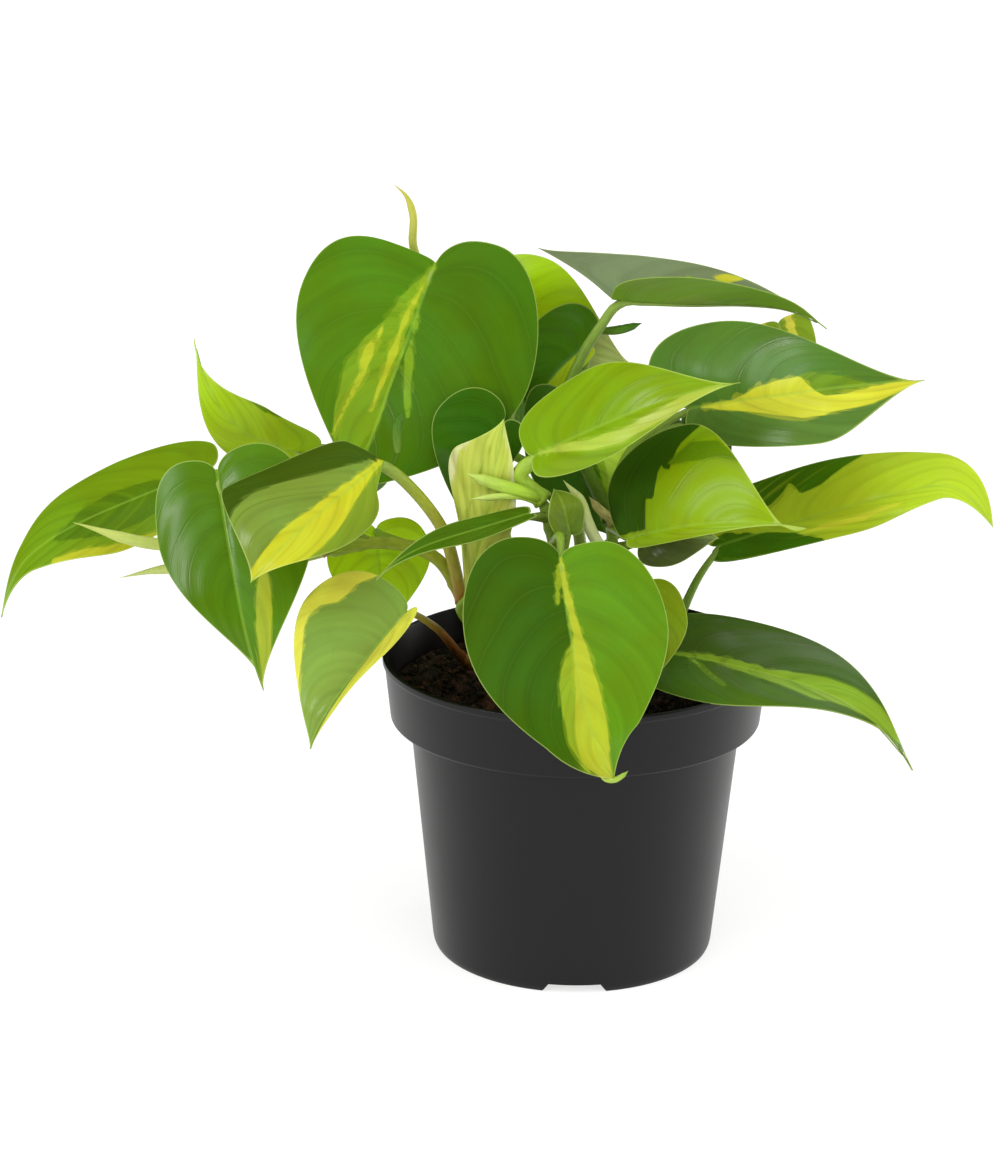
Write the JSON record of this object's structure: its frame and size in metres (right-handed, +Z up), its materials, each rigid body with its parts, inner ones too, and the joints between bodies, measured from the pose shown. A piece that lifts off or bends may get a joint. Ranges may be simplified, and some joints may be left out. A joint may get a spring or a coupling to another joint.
{
  "type": "potted philodendron",
  "caption": "Bushy heart-leaf philodendron with lime-streaked glossy leaves on slender stalks, rooted in dark soil in a tapered plastic nursery pot.",
  "frame": {"origin": "centre of the pot's foot, on the surface that it stands on", "axes": "+Z up, +Y away from the side that the picture shows, +X to the right as seen in the picture, along the longest extent"},
  "size_m": [0.3033, 0.1666, 0.2371],
  "materials": {
    "pot_plastic": "thermoformed near-black plastic with a satin sheen",
    "potting_soil": "damp dark peat with coarser crumbs",
    "stem_skin": "smooth olive-green bark-free skin, browner near the soil",
    "leaf_green": "waxy mid to dark green blade with lime streaks and a pale margin",
    "leaf_lime": "waxy lime blade with green patches",
    "leaf_streaked": "grey-green and yellow striped blade",
    "leaf_cream": "thin cream-lime young blade with wavy edges",
    "rolled_leaf": "smooth pale yellow-green rolled leaf or bract"
  },
  "bodies": {
    "root": {"pot": "pot_plastic", "soil": "potting_soil", "stem_front": "stem_skin", "stem_left": "stem_skin", "stem_low": "stem_skin", "stem_middle": "stem_skin", "stem_right": "stem_skin", "stem_edge": "stem_skin", "stem_back": "stem_skin", "leaf_front_heart": "leaf_green", "leaf_front_narrow": "leaf_green", "leaf_centre_lime": "leaf_lime", "leaf_cream": "leaf_cream", "leaf_small_dark": "leaf_green", "leaf_top_heart": "leaf_green", "leaf_left_streaked": "leaf_streaked", "leaf_left_heart": "leaf_green", "leaf_low_left": "leaf_streaked", "leaf_behind_stalks": "leaf_lime", "leaf_far_left": "leaf_lime", "leaf_upper_left": "leaf_lime", "leaf_middle_right": "leaf_lime", "leaf_upper_right": "leaf_green", "leaf_top_right": "leaf_green", "leaf_right_long": "leaf_lime", "leaf_low_right": "leaf_green", "leaf_behind_front": "leaf_lime", "leaf_under_right": "leaf_green", "leaf_new_folded": "leaf_green", "leaf_behind_top": "leaf_lime", "leaf_behind_lime": "leaf_lime", "leaf_behind_dark": "leaf_green", "leaf_inner_dark": "leaf_green", "leaf_back_high": "leaf_green", "leaf_back_left": "leaf_lime", "leaf_back_right": "leaf_green", "leaf_back_low": "leaf_lime", "leaf_back_side": "leaf_lime", "spear_top": "rolled_leaf", "spear_crown_upper": "rolled_leaf", "spear_crown_lower": "rolled_leaf", "spear_sheath": "rolled_leaf", "spear_pale": "rolled_leaf", "spear_left_upper": "rolled_leaf", "spear_left_lower": "rolled_leaf"}
  },
  "joints": []
}
